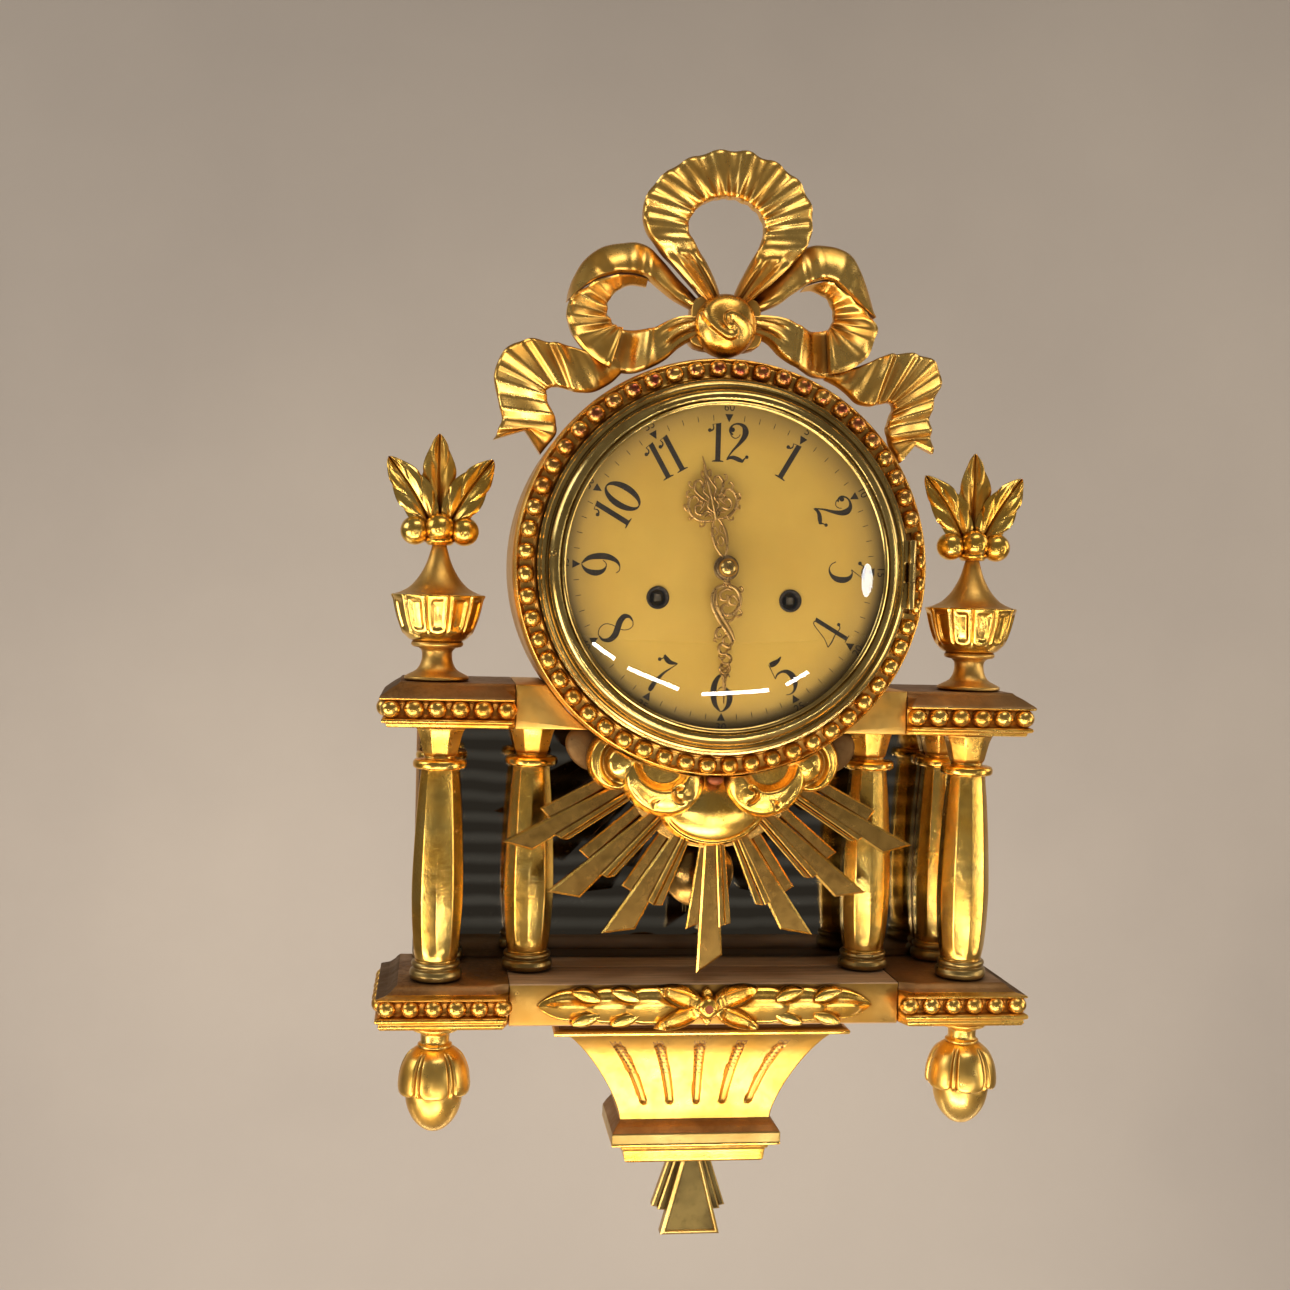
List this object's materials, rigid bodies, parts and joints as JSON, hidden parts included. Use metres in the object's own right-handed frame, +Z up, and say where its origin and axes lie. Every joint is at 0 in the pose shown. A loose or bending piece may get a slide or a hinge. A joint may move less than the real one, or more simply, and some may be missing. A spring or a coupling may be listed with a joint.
{
  "type": "pendulum clock",
  "caption": "Giltwood pendulum wall clock in Gustavian style: drum case with hinged bezel, ribbon bow, beaded shelves on columns, sunburst, mirror, and a spring-driven striking movement.",
  "frame": {"origin": "point on the wall plane where the wall hook bears on the hanger plate, behind the top of the dial", "axes": "+Z up, +Y towards the wall, the dial faces -Y, +X is the viewer's right"},
  "size_m": [0.3772, 0.118, 0.6309],
  "materials": {
    "gilt_wood": "gold leaf over red-brown bole, burnished on the high spots, darker in the recesses",
    "bare_wood": "plain sawn softwood, brown stained",
    "brass": "polished, lacquered",
    "steel": "dull",
    "dial_metal": "matte cream-gold lacquer with black printed numbers",
    "clear_glass": "convex clear glass",
    "mirror_glass": "silvered mirror, slightly dulled"
  },
  "bodies": {
    "root": {"backboard": "bare_wood", "hanger_plate": "steel", "mirror_glass": "mirror_glass", "dial_plate": "dial_metal", "movement_front_plate": "brass", "movement_back_plate": "brass", "strike_gong": "steel", "hinge_bracket": "brass", "drum_case": "gilt_wood", "bead_ring": "gilt_wood", "upper_shelf_left": "gilt_wood", "upper_shelf_right": "gilt_wood", "cornice_block_left": "gilt_wood", "cornice_block_right": "gilt_wood", "lower_shelf": "gilt_wood", "base_block_left": "gilt_wood", "base_block_right": "gilt_wood", "column_front_left": "gilt_wood", "column_front_right": "gilt_wood", "column_inner_left": "gilt_wood", "column_inner_right": "gilt_wood", "column_rear_left": "gilt_wood", "column_rear_right": "gilt_wood", "urn_left": "gilt_wood", "urn_right": "gilt_wood", "leaf_spray_left": "gilt_wood", "leaf_spray_right": "gilt_wood", "ribbon_bow": "gilt_wood", "bow_rosette": "gilt_wood", "ribbon_tail_left": "gilt_wood", "ribbon_tail_right": "gilt_wood", "cloud_carving": "gilt_wood", "sunburst_rays": "gilt_wood", "laurel_garland": "gilt_wood", "acorn_left": "gilt_wood", "acorn_right": "gilt_wood", "console_board": "gilt_wood", "console_bracket": "gilt_wood", "console_plinth": "gilt_wood", "tail_rays": "gilt_wood"},
    "bezel_door": {"bezel_frame": "brass", "bezel_glass": "clear_glass"},
    "minute_train": {"centre_arbor": "brass", "minute_hand": "brass", "hand_nut": "brass"},
    "hour_train": {"hour_wheel": "brass", "hour_hand": "brass"},
    "minute_wheel": {"minute_wheel": "brass"},
    "going_barrel": {"going_barrel": "brass"},
    "going_winder": {"winding_arbor_going": "steel"},
    "third_wheel": {"third_wheel": "brass"},
    "escape_wheel": {"escape_wheel": "brass"},
    "anchor": {"anchor_and_crutch": "steel"},
    "pendulum": {"pendulum_leader": "brass", "pendulum_rod": "brass"},
    "pendulum_bob": {"pendulum_bob": "brass"},
    "rating_nut": {"rating_nut": "brass"},
    "strike_barrel": {"strike_barrel": "brass"},
    "strike_winder": {"winding_arbor_strike": "steel"},
    "hammer": {"strike_hammer": "steel"}
  },
  "joints": [
    {"name": "bezel_hinge", "type": "hinge", "parent": "root", "child": "bezel_door", "pos_m": [0.1051, -0.104, -0.08], "axis": [0, 0, 1], "range_deg": [0, 110]},
    {"name": "minute_hand_turn", "type": "hinge", "parent": "root", "child": "minute_train", "pos_m": [0, -0.071, -0.08], "axis": [0, 1, 0], "continuous": true},
    {"name": "hour_hand_turn", "type": "hinge", "parent": "root", "child": "hour_train", "pos_m": [0, -0.096, -0.08], "axis": [0, 1, 0], "continuous": true},
    {"name": "minute_wheel_turn", "type": "hinge", "parent": "root", "child": "minute_wheel", "pos_m": [0, -0.086, -0.1003], "axis": [0, 1, 0], "continuous": true},
    {"name": "going_barrel_turn", "type": "hinge", "parent": "root", "child": "going_barrel", "pos_m": [0.0371, -0.061, -0.0973], "axis": [0, 1, 0], "continuous": true},
    {"name": "third_wheel_turn", "type": "hinge", "parent": "root", "child": "third_wheel", "pos_m": [0.01, -0.056, -0.052], "axis": [0, 1, 0], "continuous": true},
    {"name": "escape_wheel_turn", "type": "hinge", "parent": "root", "child": "escape_wheel", "pos_m": [0, -0.061, -0.0309], "axis": [0, 1, 0], "continuous": true},
    {"name": "going_winding", "type": "hinge", "parent": "root", "child": "going_winder", "pos_m": [0.0371, -0.071, -0.0973], "axis": [0, 1, 0], "range_deg": [0, 2520]},
    {"name": "strike_barrel_turn", "type": "hinge", "parent": "root", "child": "strike_barrel", "pos_m": [-0.0371, -0.061, -0.0973], "axis": [0, 1, 0], "continuous": true},
    {"name": "strike_winding", "type": "hinge", "parent": "root", "child": "strike_winder", "pos_m": [-0.0371, -0.071, -0.0973], "axis": [0, 1, 0], "range_deg": [0, 2520]},
    {"name": "pendulum_swing", "type": "hinge", "parent": "root", "child": "pendulum", "pos_m": [0, -0.037, -0.009], "axis": [0, 1, 0], "range_deg": [-5, 5]},
    {"name": "anchor_rock", "type": "hinge", "parent": "root", "child": "anchor", "pos_m": [0, -0.051, -0.009], "axis": [0, 1, 0], "range_deg": [-5, 5]},
    {"name": "bob_adjust", "type": "slide", "parent": "pendulum", "child": "pendulum_bob", "axis": [0, 0, 1], "range_m": [0, 0.004]},
    {"name": "rating_nut_turn", "type": "hinge", "parent": "pendulum_bob", "child": "rating_nut", "pos_m": [0, -0.037, -0.284], "axis": [0, 0, 1], "range_deg": [0, 2880]},
    {"name": "hammer_lift", "type": "hinge", "parent": "root", "child": "hammer", "pos_m": [-0.046, -0.051, -0.05], "axis": [0, 1, 0], "range_deg": [-12, 0]}
  ],
  "couplings": [
    {"joint": "hour_hand_turn", "follows": "minute_hand_turn", "ratio": 0.083333},
    {"joint": "minute_wheel_turn", "follows": "minute_hand_turn", "ratio": -0.33333},
    {"joint": "going_barrel_turn", "follows": "minute_hand_turn", "ratio": -0.16667},
    {"joint": "third_wheel_turn", "follows": "minute_hand_turn", "ratio": -7.5},
    {"joint": "escape_wheel_turn", "follows": "minute_hand_turn", "ratio": 50.625},
    {"joint": "anchor_rock", "follows": "pendulum_swing", "ratio": 1},
    {"joint": "rating_nut_turn", "follows": "bob_adjust", "rad_per_m": 12566}
  ]
}
